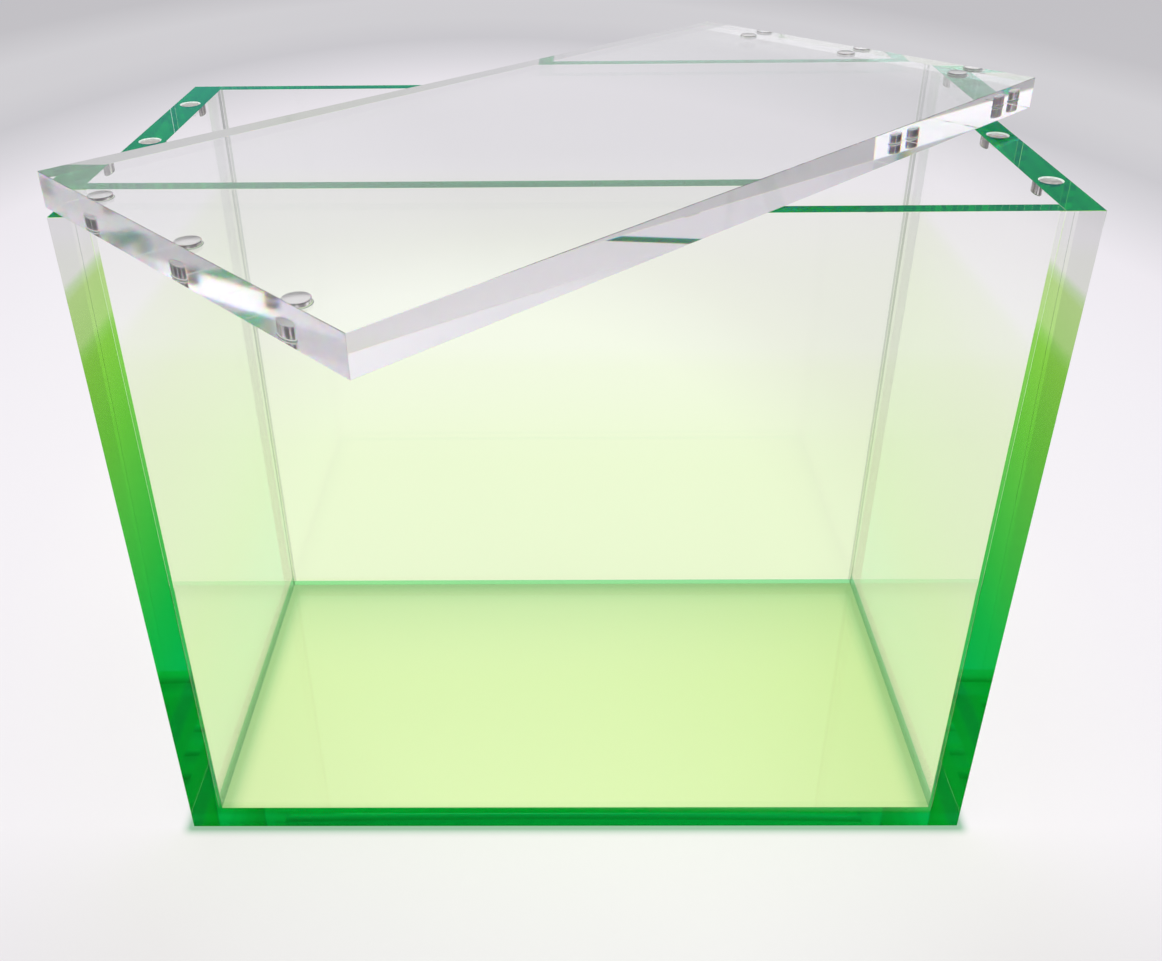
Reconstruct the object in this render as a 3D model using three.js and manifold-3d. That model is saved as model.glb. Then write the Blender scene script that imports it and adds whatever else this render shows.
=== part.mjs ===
// Trading card box case: a clear acrylic tub, dyed green from the base up, with a loose magnetic lid.
// Millimetres, +Z up. The origin is the centre of the tub's underside, on the table it stands on.
// The front of the tub faces -Y, and the lid lies turned on the rim, as it is left when half opened.

import * as THREE from 'three';
import { mergeVertices } from 'three/addons/utils/BufferGeometryUtils.js';
import Module from 'manifold-3d';

const wasm = await Module();
wasm.setup();

// Driving dimensions of the tub
const TUB_WIDTH = 210;
const TUB_DEPTH = 106;
const TUB_HEIGHT = 176;
const SIDE_WALL = 8;
const FACE_WALL = 4;
const BASE_PLATE = 5;
const CEMENT_LINE = 0.05;
const ARRIS = 0.2;

// Driving dimensions of the lid, and where it lies on the rim
const LID_THICKNESS = 7.6;
const LID_SEAT_GAP = 0.1;
const LID_TURN_DEGREES = 44.4;
const LID_SHIFT_RIGHT = 4.8;
const LID_SHIFT_BACK = -11.8;

// Driving dimensions of the magnets that draw the lid shut
const MAGNET_DIAMETER = 4.76;
const MAGNET_HEIGHT = 2.54;
const MAGNET_EDGE = 0.25;
const MAGNET_RECESS = 0.2;
const MAGNET_FROM_CORNER = 19;
const POCKET_CLEARANCE = 0.2;
const POCKET_GLUE_DEPTH = 0.1;
const ROUND_SIDES = 32;
const MAGNET_EDGE_STEPS = 2;

// Sizes that follow from the driving dimensions
const HALF_WIDTH = TUB_WIDTH / 2;
const HALF_DEPTH = TUB_DEPTH / 2;
const WALL_FOOT = BASE_PLATE + CEMENT_LINE;
const LID_UNDERSIDE = TUB_HEIGHT + LID_SEAT_GAP;
const MAGNET_RADIUS = MAGNET_DIAMETER / 2;
const POCKET_RADIUS = MAGNET_RADIUS + POCKET_CLEARANCE;
const POCKET_DEPTH = MAGNET_RECESS + MAGNET_HEIGHT + POCKET_GLUE_DEPTH;
const MAGNET_ROW_X = HALF_WIDTH - SIDE_WALL / 2;
const MAGNET_REACH = HALF_DEPTH - MAGNET_FROM_CORNER;
const CUTTER_OVERRUN = 2 * ARRIS;

const SIDES = { left: -1, right: 1 };
const MAGNET_PLACES = { front: -MAGNET_REACH, middle: 0, back: MAGNET_REACH };

// Materials, one finish for each kind of piece
const FINISHES = {
  dyed_acrylic: { color: 0xdff5c4, roughness: 0.03, metalness: 0, transparent: true, opacity: 0.35 },
  dyed_base: { color: 0x9fdc78, roughness: 0.03, metalness: 0, transparent: true, opacity: 0.5 },
  clear_acrylic: { color: 0xf4f5f7, roughness: 0.03, metalness: 0, transparent: true, opacity: 0.25 },
  nickel_plate: { color: 0xc9cacb, roughness: 0.22, metalness: 1 },
};

function namedMesh(name, geometry, finish) {
  const mesh = new THREE.Mesh(geometry, new THREE.MeshStandardMaterial(FINISHES[finish]));
  mesh.name = name;
  return mesh;
}

// Solid modelling: closed geometry to a solid that can be cut, and back again
function toSolid(geometry) {
  const bare = geometry.clone();
  bare.deleteAttribute('normal');
  bare.deleteAttribute('uv');
  const welded = mergeVertices(bare);
  const vertProperties = new Float32Array(welded.attributes.position.array);
  const triVerts = new Uint32Array(welded.index.array);
  return new wasm.Manifold(new wasm.Mesh({ numProp: 3, vertProperties, triVerts }));
}

function toGeometry(solid) {
  const { vertProperties, triVerts } = solid.getMesh();
  const geometry = new THREE.BufferGeometry();
  geometry.setAttribute('position', new THREE.BufferAttribute(vertProperties, 3));
  geometry.setIndex(new THREE.BufferAttribute(triVerts, 1));
  geometry.computeVertexNormals();
  return geometry;
}

// A sheet of acrylic cut square, from its lowest corner to its highest
function sheet([x0, y0, z0], [x1, y1, z1]) {
  const geometry = new THREE.BoxGeometry(x1 - x0, y1 - y0, z1 - z0);
  geometry.translate((x0 + x1) / 2, (y0 + y1) / 2, (z0 + z1) / 2);
  return toSolid(geometry);
}

// A square bar, turned onto its corner, that cuts a 45 degree arris off the edge it is centred on
const ARRIS_BAR = ARRIS * Math.SQRT2;
const ALONG = {
  x: (geometry) => geometry.rotateZ(-Math.PI / 2),
  y: (geometry) => geometry,
  z: (geometry) => geometry.rotateX(Math.PI / 2),
};

function arrisCutter(axis, length, [x, y, z]) {
  const bar = new THREE.BoxGeometry(ARRIS_BAR, length + CUTTER_OVERRUN, ARRIS_BAR);
  bar.rotateY(Math.PI / 4);
  ALONG[axis](bar);
  bar.translate(x, y, z);
  return toSolid(bar);
}

function easeEdges(solid, edges) {
  return edges.reduce((eased, edge) => eased.subtract(arrisCutter(...edge)), solid);
}

// The edges of a rectangle centred on the origin, at one height: front, back, left and right
function rectangleEdges(width, depth, z) {
  const front = ['x', width, [0, -depth / 2, z]];
  const back = ['x', width, [0, depth / 2, z]];
  const left = ['y', depth, [-width / 2, 0, z]];
  const right = ['y', depth, [width / 2, 0, z]];
  return [front, back, left, right];
}

// The four upright edges of a block on that rectangle, between two heights
function cornerEdges(width, depth, low, high) {
  const middle = (low + high) / 2;
  return [-width / 2, width / 2].flatMap((x) =>
    [-depth / 2, depth / 2].map((y) => ['z', high - low, [x, y, middle]]));
}

// Blind pockets drilled for one row of magnets, with the mouth at the given height
function drillPockets(solid, x, mouth, depthDirection) {
  const length = POCKET_DEPTH + CUTTER_OVERRUN;
  return Object.values(MAGNET_PLACES).reduce((drilled, y) => {
    const bit = new THREE.CylinderGeometry(POCKET_RADIUS, POCKET_RADIUS, length, ROUND_SIDES);
    bit.rotateX(Math.PI / 2);
    bit.translate(x, y, mouth + depthDirection * (POCKET_DEPTH - length / 2));
    return drilled.subtract(toSolid(bit));
  }, solid);
}

// A disc magnet with rounded edges, standing on the given height
function magnetGeometry(x, y, z) {
  const quarter = (centreX, centreY, start) => {
    const end = start + Math.PI / 2;
    const arc = new THREE.EllipseCurve(centreX, centreY, MAGNET_EDGE, MAGNET_EDGE, start, end);
    return arc.getPoints(MAGNET_EDGE_STEPS);
  };
  const edgeX = MAGNET_RADIUS - MAGNET_EDGE;
  const profile = [
    new THREE.Vector2(0, 0),
    ...quarter(edgeX, MAGNET_EDGE, -Math.PI / 2),
    ...quarter(edgeX, MAGNET_HEIGHT - MAGNET_EDGE, 0),
    new THREE.Vector2(0, MAGNET_HEIGHT),
  ];
  const geometry = new THREE.LatheGeometry(profile, ROUND_SIDES);
  geometry.rotateX(Math.PI / 2);
  geometry.translate(x, y, z);
  return toGeometry(toSolid(geometry));
}

// The base plate carries all four walls, so its edge shows right round the foot of the tub
function basePlate() {
  const plate = sheet([-HALF_WIDTH, -HALF_DEPTH, 0], [HALF_WIDTH, HALF_DEPTH, BASE_PLATE]);
  const eased = easeEdges(plate, [
    ...rectangleEdges(TUB_WIDTH, TUB_DEPTH, 0),
    ...cornerEdges(TUB_WIDTH, TUB_DEPTH, 0, BASE_PLATE),
  ]);
  return namedMesh('base_plate', toGeometry(eased), 'dyed_base');
}

// The thick side walls run the full depth, and their top edges hold the rim magnets
function sideWall(side) {
  const outer = SIDES[side] * HALF_WIDTH;
  const inner = SIDES[side] * (HALF_WIDTH - SIDE_WALL);
  const low = [Math.min(outer, inner), -HALF_DEPTH, WALL_FOOT];
  const high = [Math.max(outer, inner), HALF_DEPTH, TUB_HEIGHT];
  const rise = TUB_HEIGHT - WALL_FOOT;
  const middle = (TUB_HEIGHT + WALL_FOOT) / 2;
  const wallX = (outer + inner) / 2;
  const edges = [
    ['y', TUB_DEPTH, [outer, 0, TUB_HEIGHT]],
    ['x', SIDE_WALL, [wallX, -HALF_DEPTH, TUB_HEIGHT]],
    ['x', SIDE_WALL, [wallX, HALF_DEPTH, TUB_HEIGHT]],
    ['z', rise, [outer, -HALF_DEPTH, middle]],
    ['z', rise, [outer, HALF_DEPTH, middle]],
  ];
  const eased = easeEdges(sheet(low, high), edges);
  const drilled = drillPockets(eased, SIDES[side] * MAGNET_ROW_X, TUB_HEIGHT, -1);
  return namedMesh(`${side}_wall`, toGeometry(drilled), 'dyed_acrylic');
}

// The thin front and back walls are cemented between the side walls, flush with their edges
function faceWall(name, direction) {
  const outer = direction * HALF_DEPTH;
  const inner = direction * (HALF_DEPTH - FACE_WALL);
  const reach = HALF_WIDTH - SIDE_WALL - CEMENT_LINE;
  const low = [-reach, Math.min(outer, inner), WALL_FOOT];
  const high = [reach, Math.max(outer, inner), TUB_HEIGHT];
  const edges = [
    ['x', 2 * reach, [0, outer, TUB_HEIGHT]],
    ['x', 2 * reach, [0, inner, TUB_HEIGHT]],
  ];
  return namedMesh(name, toGeometry(easeEdges(sheet(low, high), edges)), 'dyed_acrylic');
}

// The lid is a flat slab of the tub's own outline, with magnet pockets drilled into its underside
function lidPanel() {
  const slab = sheet([-HALF_WIDTH, -HALF_DEPTH, 0], [HALF_WIDTH, HALF_DEPTH, LID_THICKNESS]);
  const edges = [
    ...rectangleEdges(TUB_WIDTH, TUB_DEPTH, 0),
    ...rectangleEdges(TUB_WIDTH, TUB_DEPTH, LID_THICKNESS),
    ...cornerEdges(TUB_WIDTH, TUB_DEPTH, 0, LID_THICKNESS),
  ];
  const drilled = Object.values(SIDES).reduce(
    (lid, side) => drillPockets(lid, side * MAGNET_ROW_X, 0, 1), easeEdges(slab, edges));
  return namedMesh('lid_panel', toGeometry(drilled), 'clear_acrylic');
}

// Three magnets at each end, glued in a hair below the face that they were pressed in from
function magnets(kind, z) {
  return Object.entries(SIDES).flatMap(([side, sign]) =>
    Object.entries(MAGNET_PLACES).map(([place, y]) => {
      const geometry = magnetGeometry(sign * MAGNET_ROW_X, y, z);
      return namedMesh(`${kind}_magnet_${side}_${place}`, geometry, 'nickel_plate');
    }));
}

const tub = new THREE.Group();
tub.add(basePlate(), sideWall('left'), sideWall('right'));
tub.add(faceWall('front_wall', -1), faceWall('back_wall', 1));
tub.add(...magnets('rim', TUB_HEIGHT - MAGNET_RECESS - MAGNET_HEIGHT));

const lid = new THREE.Group();
lid.add(lidPanel(), ...magnets('lid', MAGNET_RECESS));
lid.position.set(LID_SHIFT_RIGHT, LID_SHIFT_BACK, LID_UNDERSIDE);
lid.rotation.z = THREE.MathUtils.degToRad(LID_TURN_DEGREES);

const cardBoxCase = new THREE.Group();
cardBoxCase.add(tub, lid);

export default cardBoxCase;
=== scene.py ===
# %% [markdown]
# # A clear acrylic card box case, dyed green from the foot up
#
# The case is five polished acrylic panels cemented into a tub, with a loose acrylic lid on top.
# Small nickel-plated magnets sit in pockets in the rim and in the underside of the lid.
# This lesson dresses the measured parts: it models the panels with eased edges, builds see-through
# acrylic from nodes, sets the magnets out with Geometry Nodes, and lights it all like a small studio.

# %% Load the measured parts
import math

import bmesh
import bpy
from mathutils import Matrix, Vector


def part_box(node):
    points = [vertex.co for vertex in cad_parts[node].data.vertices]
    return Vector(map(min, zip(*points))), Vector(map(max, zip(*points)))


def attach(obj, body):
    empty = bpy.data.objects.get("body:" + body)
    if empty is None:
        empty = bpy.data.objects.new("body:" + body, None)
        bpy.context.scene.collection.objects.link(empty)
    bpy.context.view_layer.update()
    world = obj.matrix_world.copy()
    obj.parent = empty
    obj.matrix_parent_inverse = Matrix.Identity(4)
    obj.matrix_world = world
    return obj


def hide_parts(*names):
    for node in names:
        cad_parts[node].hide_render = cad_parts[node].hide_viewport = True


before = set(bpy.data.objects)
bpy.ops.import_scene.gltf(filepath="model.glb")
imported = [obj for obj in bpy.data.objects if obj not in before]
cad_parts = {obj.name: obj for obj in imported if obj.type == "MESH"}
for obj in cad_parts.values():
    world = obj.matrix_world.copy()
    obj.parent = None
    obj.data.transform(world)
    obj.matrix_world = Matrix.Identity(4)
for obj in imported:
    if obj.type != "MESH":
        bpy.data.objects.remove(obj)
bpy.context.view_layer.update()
print("parts:", ", ".join(sorted(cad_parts)))

# %% [markdown]
# ## Sizes
#
# The real case holds a box of cards, and each wall is a sheet thickness that a shop sells.
# The sizes could be typed in again here, but two lists of numbers soon disagree. So each one is
# read from the measured parts, and a change there moves everything in this file.
# Blender works in metres, so a millimetre gets a name of its own.

# %% Read the sizes of the tub
MM = 0.001
base_low, base_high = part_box("base_plate")
half_width = base_high.x
half_depth = base_high.y
tub_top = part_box("left_wall")[1].z
side_wall_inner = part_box("right_wall")[0].x
face_wall_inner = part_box("back_wall")[0].y
print(f"tub {2 * half_width / MM:.1f} x {2 * half_depth / MM:.1f} x {tub_top / MM:.1f} mm")

# %% [markdown]
# ## Where the lid lies
#
# The lid has the outline of the tub, but it was put down askew, across the rim. Its box says only how
# far it reaches, not how it is turned. The two middle magnets lie on its long centre line, so the line
# between them gives the turn and its middle gives the place.

# %% Read the place and turn of the lid
def middle(node):
    low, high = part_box(node)
    return (low + high) / 2


lid_low, lid_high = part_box("lid_panel")
lid_left = middle("lid_magnet_left_middle")
lid_right = middle("lid_magnet_right_middle")
lid_across = lid_right - lid_left
lid_turn = math.atan2(lid_across.y, lid_across.x)
lid_centre = (lid_left + lid_right) / 2
lid_place = Matrix.Translation((lid_centre.x, lid_centre.y, lid_low.z)) @ Matrix.Rotation(lid_turn, 4, "Z")
print(f"lid turned {math.degrees(lid_turn):.1f} degrees on the rim")

# %% [markdown]
# ## Camera
#
# The picture was taken from close by and a little above, so the tub tapers strongly towards its foot.
# A camera could be aimed with a Track To constraint, but the picture is also rolled by half a degree.
# So the three axes are worked out from yaw, pitch and roll, and the shift keeps the picture's framing.

# %% Place the camera
CAMERA_PLACE = Vector((-2.1, -268.4, 253.1)) * MM
CAMERA_YAW = math.radians(-0.66)
CAMERA_PITCH = math.radians(30.0)
CAMERA_ROLL = math.radians(-0.59)
CAMERA_LENS = 35.23
CAMERA_SENSOR = 36
CAMERA_SHIFT = (0.0237, -0.0512)
NEAREST_SEEN = 10 * MM


def camera_axes():
    forward = Vector((
        math.sin(CAMERA_YAW) * math.cos(CAMERA_PITCH),
        math.cos(CAMERA_YAW) * math.cos(CAMERA_PITCH),
        -math.sin(CAMERA_PITCH),
    ))
    level = Vector((math.cos(CAMERA_YAW), -math.sin(CAMERA_YAW), 0))
    upright = level.cross(forward)
    right = math.cos(CAMERA_ROLL) * level + math.sin(CAMERA_ROLL) * upright
    up = -math.sin(CAMERA_ROLL) * level + math.cos(CAMERA_ROLL) * upright
    return right, up, -forward


camera_data = bpy.data.cameras.new("picture_camera")
camera_data.sensor_width = CAMERA_SENSOR
camera_data.lens = CAMERA_LENS
camera_data.shift_x, camera_data.shift_y = CAMERA_SHIFT
camera_data.clip_start = NEAREST_SEEN
camera = bpy.data.objects.new("picture_camera", camera_data)
camera.matrix_world = Matrix.Translation(CAMERA_PLACE) @ Matrix(camera_axes()).transposed().to_4x4()
bpy.context.scene.collection.objects.link(camera)
bpy.context.scene.camera = camera
print("camera at", [round(value, 3) for value in CAMERA_PLACE])

# %% [markdown]
# ## Helpers for node trees
#
# Every finish below is a node tree. Trees can be drawn by hand in the Shader Editor, but a script
# that wires them gives the same finish each time. One helper adds a node and fills its inputs:
# an input takes a plain value, or a wire from another node. The others lay colours out on a ramp,
# and start and end a material.

# %% Helpers: add a node, ramp colours, start and end a material
NEW_STOP = 0.5


def add_node(tree, kind, inputs=None, **settings):
    """Adds a node. inputs maps an input's name or number to a plain value or to another node's output."""
    node = tree.nodes.new(kind)
    for name, value in settings.items():
        setattr(node, name, value)
    for key, value in (inputs or {}).items():
        if isinstance(value, bpy.types.NodeSocket):
            tree.links.new(value, node.inputs[key])
        else:
            node.inputs[key].default_value = value
    return node


def colour_ramp(tree, factor, stops):
    ramp = add_node(tree, "ShaderNodeValToRGB", {"Fac": factor})
    elements = ramp.color_ramp.elements
    while len(elements) < len(stops):
        elements.new(NEW_STOP)
    for element, (place, colour) in zip(elements, stops):
        element.position = place
        element.color = (*colour, 1)
    return ramp.outputs["Color"]


def new_material(name):
    """An empty material and its tree."""
    material = bpy.data.materials.new(name)
    material.use_nodes = True
    material.node_tree.nodes.clear()
    return material, material.node_tree


def show(tree, shader):
    add_node(tree, "ShaderNodeOutputMaterial", {"Surface": shader})


print("node helpers ready")

# %% [markdown]
# ## Helpers for numbers and colours
#
# A finish works most of its numbers out from where a point lies on the piece. Generated coordinates
# would stretch with the piece, so Object coordinates are read, in metres. The same few nodes come back
# in every tree: sums, ranges, mixed colours and noise. Each gets a short name here.

# %% Helpers: sums, ranges, mixed colours and noise
MIX_SHARE, MIX_FIRST, MIX_SECOND, MIX_RESULT = 0, 6, 7, 2


def reckon(tree, operation, *values):
    """The result of a Math node, such as reckon(tree, "DIVIDE", 1, wire)."""
    return add_node(tree, "ShaderNodeMath", dict(enumerate(values)), operation=operation).outputs[0]


def ranged(tree, value, low=0, high=1, to_low=0, to_high=1):
    """A value between low and high, carried over to between to_low and to_high."""
    span = add_node(tree, "ShaderNodeMapRange", {
        "Value": value, "From Min": low, "From Max": high, "To Min": to_low, "To Max": to_high})
    return span.outputs["Result"]


def mixed(tree, share, first, second, kind="MIX"):
    """Two colours mixed by share. Another kind of mix multiplies or adds them."""
    colours = {MIX_SHARE: share, MIX_FIRST: first, MIX_SECOND: second}
    return add_node(tree, "ShaderNodeMix", colours, data_type="RGBA", blend_type=kind).outputs[MIX_RESULT]


def object_place(tree):
    return add_node(tree, "ShaderNodeTexCoord").outputs["Object"]


def cloud(tree, place, scale, detail):
    """A cloudy pattern from 0 to 1."""
    noise = add_node(tree, "ShaderNodeTexNoise", {"Vector": place, "Scale": scale, "Detail": detail})
    return noise.outputs["Fac"]


print("a colour mix reads its colours from inputs", MIX_FIRST, "and", MIX_SECOND)

# %% [markdown]
# ## Cast sheet
#
# The panels are cut from cast acrylic. Such sheet looks perfect, but it keeps a faint swell from its
# mould, and its tint drifts a little from place to place. Both could be painted on an image.
# Two noise patterns do the same without one: the first bends the normal, the second drives a ramp.

# %% Helpers: the swell and the drift of cast sheet
SWELL_SCALE = 22.0
SWELL_DETAIL = 1.0
SWELL_STRENGTH = 0.05
SWELL_HEIGHT = 0.02 * MM
DRIFT_SCALE = 14.0
DRIFT_DETAIL = 2.0
DEEPEST, PALEST = 0.35, 0.65
CAST_SPREAD = 0.006


def sheet_swell(tree):
    """The faint swell that cast sheet keeps after polishing, as a bump."""
    swell = cloud(tree, object_place(tree), SWELL_SCALE, SWELL_DETAIL)
    bump = add_node(tree, "ShaderNodeBump", {
        "Strength": SWELL_STRENGTH, "Distance": SWELL_HEIGHT, "Height": swell})
    return bump.outputs["Normal"]


def cast_tint(tree, tint, spread=CAST_SPREAD):
    """A tint that drifts a little over the sheet, as cast acrylic does."""
    paler = [min(1, value * (1 + spread / 2)) for value in tint]
    deeper = [value * (1 - spread / 2) for value in tint]
    drift = cloud(tree, object_place(tree), DRIFT_SCALE, DRIFT_DETAIL)
    return colour_ramp(tree, drift, [(DEEPEST, deeper), (PALEST, paler)])


print(f"cast sheet: tint drifts by {100 * CAST_SPREAD:.1f} percent")

# %% [markdown]
# ## Acrylic
#
# Clear acrylic bends light and mirrors a little of it. Light that runs along inside a panel meets the
# faces at a shallow angle and is mirrored completely, which is why cut edges glow with colour.
# One Principled shader with Transmission could do this, but it has a single colour. Here a bending
# shader and a mirroring shader are mixed by Fresnel, so each can have a tint of its own, and the mirror
# can have one tint for the outer side of a face and another for light that meets it from inside.

# %% Helpers: bend, mirror, and tell the two sides of a face apart
ACRYLIC_IOR = 1.49
WHITE = (1, 1, 1, 1)


def bending(tree, normal, tint, index=ACRYLIC_IOR):
    bend = add_node(tree, "ShaderNodeBsdfRefraction", {
        "Color": tint, "Roughness": 0.0, "IOR": index, "Normal": normal})
    return bend.outputs["BSDF"]


def mirroring(tree, normal, through, tint, haze=0.0):
    """Mixes a mirror into what comes through a face, by Fresnel, and shows the mix."""
    mirror = add_node(tree, "ShaderNodeBsdfGlossy", {"Color": tint, "Roughness": haze, "Normal": normal})
    share = add_node(tree, "ShaderNodeFresnel", {"IOR": ACRYLIC_IOR, "Normal": normal})
    mix = add_node(tree, "ShaderNodeMixShader", {
        0: share.outputs["Fac"], 1: through, 2: mirror.outputs["BSDF"]})
    show(tree, mix.outputs["Shader"])


def by_side(tree, outside, inside):
    """One colour on the outer side of a face, and another where light meets it from inside."""
    side = add_node(tree, "ShaderNodeNewGeometry").outputs["Backfacing"]
    return mixed(tree, side, outside, inside)


print(f"acrylic bends light with an index of {ACRYLIC_IOR}")

# %% [markdown]
# ## Clear acrylic
#
# The lid, the inside of the tub and the rim never met the dye. They are nearly colourless, and differ
# only in polish: the lid's faces are cast-smooth, its back edge is still a little matt from the saw,
# and the rim looks green because it stands over dyed walls. Its outer reflection is also tinted green,
# which is a painted reflection. One function with a tint, a sheen for the outer side and a haze covers
# them all, so no finish is copied.

# %% Clear acrylic for the lid, the inside and the rim
FACE_HAZE = 0.015
SAWN_HAZE = 0.06
LID_TINT = (0.99, 0.992, 0.995)
LID_EDGE_TINT = (0.90, 0.895, 0.905)
CLEAR_TINT = (0.997, 0.997, 0.997)
# The green sheen below tints the rim's outer reflection: a painted reflection, not a colour of the acrylic.
RIM_PAINTED_SHEEN = (0.20, 1.0, 0.86, 1)


def clear_acrylic(name, tint, sheen=None, haze=0.0):
    material, tree = new_material(name)
    normal = sheet_swell(tree)
    through = bending(tree, normal, cast_tint(tree, tint))
    mirroring(tree, normal, through, by_side(tree, sheen, WHITE) if sheen else WHITE, haze)
    return material


lid_acrylic = clear_acrylic("lid_acrylic", LID_TINT, haze=FACE_HAZE)
sawn_edge_acrylic = clear_acrylic("sawn_edge_acrylic", LID_EDGE_TINT, haze=SAWN_HAZE)
inner_acrylic = clear_acrylic("inner_acrylic", CLEAR_TINT)
# The rim's outer reflection takes the painted green sheen.
rim_acrylic = clear_acrylic("rim_acrylic", CLEAR_TINT, RIM_PAINTED_SHEEN)
print("clear finishes:", lid_acrylic.name, sawn_edge_acrylic.name, inner_acrylic.name, rim_acrylic.name)

# %% [markdown]
# ## Rainbow fringes in the lid's edges
#
# Acrylic bends blue light a little more than red. Through the flat faces that hardly shows, but in
# the lid's cut edges, where light has run a long way, it leaves small rainbow fringes. Cycles has no
# setting for it, so three bending shaders, one for each colour, are added to a plain one. The plain
# share is kept large, because a ray that carries one colour only is noisy.

# %% Polished edges with fringes
FRINGE_IORS = (1.4865, 1.490, 1.497)
FRINGE_SHARE = 0.5
EDGE_HAZE = 0.042


def fringed_acrylic(name, tint, haze):
    material, tree = new_material(name)
    normal = sheet_swell(tree)
    through = bending(tree, normal, cast_tint(tree, [(1 - FRINGE_SHARE) * value for value in tint]))
    for channel, index in enumerate(FRINGE_IORS):
        one_colour = [0, 0, 0]
        one_colour[channel] = FRINGE_SHARE * tint[channel]
        fringe = bending(tree, normal, cast_tint(tree, one_colour), index)
        through = add_node(tree, "ShaderNodeAddShader", {0: through, 1: fringe}).outputs["Shader"]
    mirroring(tree, normal, through, WHITE, haze)
    return material


lid_edge_acrylic = fringed_acrylic("lid_edge_acrylic", LID_EDGE_TINT, EDGE_HAZE)
print("fringed finish:", lid_edge_acrylic.name)

# %% [markdown]
# ## The dye
#
# The finished tub was dipped in green dye, foot first and a little askew, up to about four fifths of
# its height. The longer a part hung in the bath, the deeper its colour. Only the outer skin took it.
# A volume shader would tint the whole thickness, so instead the outer faces carry the dye in a ramp
# along the height. The ramp reads Object coordinates, so it stays on the tub when the tub moves.

# %% Where a point lies in the dye bath
DYE_LINE = 0.815
DYE_TILT = 0.014


def height_share(tree):
    """How far up the tub a point lies, from 0 to 1, across a bath that it stood in a little askew."""
    depth = add_node(tree, "ShaderNodeVectorMath", {
        0: object_place(tree), 1: (DYE_TILT, 0, 1)}, operation="DOT_PRODUCT")
    return ranged(tree, depth.outputs["Value"], 0, tub_top)


print(f"dye line at {DYE_LINE * tub_top / MM:.1f} mm")

# %% [markdown]
# ## Dyed outer faces
#
# Looked at straight, the dyed skin is a pale lime tint. A ray that is mirrored inside the panel crosses
# the skin at a slant, again and again, and comes out deep green. That is the green of the corner strips.
# The slant comes from Layer Weight: the way through a skin grows with one over the cosine, and dye
# darkens as a power of the way. Two ramps and a power node give both looks from one finish.

# %% Dyed acrylic
PANE_TINTS = [
    (0.012, (0.88, 0.99, 0.64)),
    (0.03, (0.945, 0.992, 0.81)),
    (0.30, (0.925, 0.99, 0.79)),
    (0.45, (0.935, 0.992, 0.83)),
    (0.70, (0.955, 0.994, 0.88)),
    (DYE_LINE - 0.01, (0.98, 0.997, 0.94)),
    (DYE_LINE + 0.02, (1, 1, 1)),
]
MIRROR_TINTS = [
    (0.0, (0.008, 0.79, 0.52)),
    (0.03, (0.009, 0.81, 0.52)),
    (0.20, (0.065, 0.79, 0.43)),
    (0.32, (0.20, 0.78, 0.34)),
    (0.50, (0.36, 0.80, 0.345)),
    (0.68, (0.50, 0.84, 0.28)),
    (DYE_LINE - 0.015, (0.62, 0.88, 0.36)),
    (DYE_LINE, (0.74, 0.93, 0.60)),
    (DYE_LINE + 0.012, (1, 1, 1)),
]
FOOT_GLOSS = [(0.036, (0.08, 0.08, 0.08)), (0.046, (1, 1, 1))]
GRAZING_COSINE = 0.26
PLAIN_BLEND = 0.5
SIDE_DEPTH = 1.65
CHANNELS = ("Red", "Green", "Blue")


def skin_path(tree):
    """The way through the dyed skin, measured against the way of a ray that grazes it."""
    one_less_cosine = add_node(tree, "ShaderNodeLayerWeight", {"Blend": PLAIN_BLEND}).outputs["Facing"]
    return reckon(tree, "DIVIDE", GRAZING_COSINE, reckon(tree, "SUBTRACT", 1, one_less_cosine))


def deepen(tree, colour, path):
    """Each channel of a colour, raised to the length of the path: how dye darkens with depth."""
    split = add_node(tree, "ShaderNodeSeparateColor", {"Color": colour}).outputs
    deeper = {channel: reckon(tree, "POWER", split[channel], path) for channel in CHANNELS}
    return add_node(tree, "ShaderNodeCombineColor", deeper).outputs["Color"]


def dyed_acrylic(name, depth=1.0):
    """A polished outer face: a pale tint straight through, deep green where light is mirrored inside."""
    material, tree = new_material(name)
    normal = sheet_swell(tree)
    height = height_share(tree)
    panes = [(place, [value ** depth for value in tint]) for place, tint in PANE_TINTS]
    through = bending(tree, normal, colour_ramp(tree, height, panes))
    skin = deepen(tree, colour_ramp(tree, height, MIRROR_TINTS), skin_path(tree))
    mirroring(tree, normal, through, by_side(tree, colour_ramp(tree, height, FOOT_GLOSS), skin))
    return material


outer_acrylic = dyed_acrylic("outer_acrylic")
side_acrylic = dyed_acrylic("side_acrylic", SIDE_DEPTH)
print("dyed finishes:", outer_acrylic.name, side_acrylic.name)

# %% [markdown]
# ## Cut edges
#
# The ends of the thick side walls and the edges of the base were sawn and then polished, not cast.
# They took the same dye, lose a little light to fine saw marks, and mirror more dully from inside.
# The same shader serves again, with a dimmer tint, a weak outer shine and a grey inner mirror.

# %% Polished cut edges
EDGE_LOSS = 0.93
EDGE_FOOT = (0.0, (0.72, 0.80, 0.52))
EDGE_SHINE = (0.08, 0.08, 0.08, 1)
EDGE_MIRROR = (0.61, 0.655, 0.615, 1)


def cut_edge(name):
    material, tree = new_material(name)
    normal = sheet_swell(tree)
    panes = [EDGE_FOOT] + [(place, [EDGE_LOSS * value for value in tint]) for place, tint in PANE_TINTS]
    through = bending(tree, normal, colour_ramp(tree, height_share(tree), panes))
    mirroring(tree, normal, through, by_side(tree, EDGE_SHINE, EDGE_MIRROR))
    return material


edge_acrylic = cut_edge("edge_acrylic")
print("cut edge finish:", edge_acrylic.name)

# %% [markdown]
# ## Cement
#
# Solvent cement melts two faces into one, so light crosses a joint without bending. Dye crept into
# the joints under the walls, and the back corners kept a greyer line. A Transparent shader lets light go
# straight on and only tints it. Leaving the faces out would do the same, but the panels would no
# longer be closed shapes. A drifting tint stands for the small bubbles of a real joint.

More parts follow.
